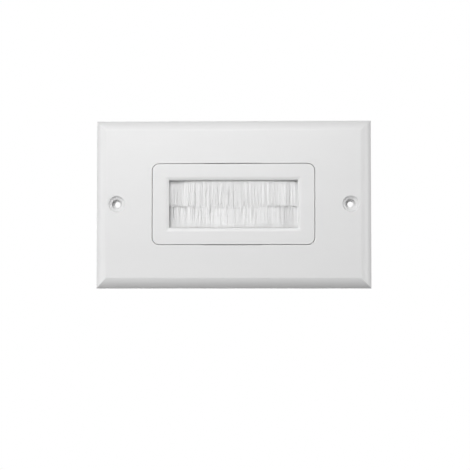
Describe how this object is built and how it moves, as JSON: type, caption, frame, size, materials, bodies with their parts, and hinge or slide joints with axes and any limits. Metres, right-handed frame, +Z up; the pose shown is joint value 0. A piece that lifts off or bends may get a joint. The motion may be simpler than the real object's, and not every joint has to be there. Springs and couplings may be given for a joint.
{
  "type": "brush wall plate",
  "caption": "White rectangular wall plate with a rounded bevel and a snap-in frame whose window is closed by facing brushes, so that cables pass through a wall box.",
  "frame": {"origin": "centre of the plate in the wall's plane, which is the plane of the rim's back", "axes": "+X along the plate's long side, to the right seen from the front; +Z up; +Y into the wall, so the face looks along -Y"},
  "size_m": [0.1142, 0.0097, 0.0698],
  "materials": {
    "plate_abs": "satin moulded white",
    "insert_abs": "satin moulded white",
    "channel_metal": "plain rolled sheet",
    "core_wire": "drawn wire",
    "bristle_nylon": "white nylon filament"
  },
  "bodies": {
    "root": {"wall_plate": "plate_abs", "brush_insert": "insert_abs", "upper_brush_channel": "channel_metal", "lower_brush_channel": "channel_metal", "upper_core_wire": "core_wire", "lower_core_wire": "core_wire", "upper_bristles": "bristle_nylon", "lower_bristles": "bristle_nylon"}
  },
  "joints": []
}
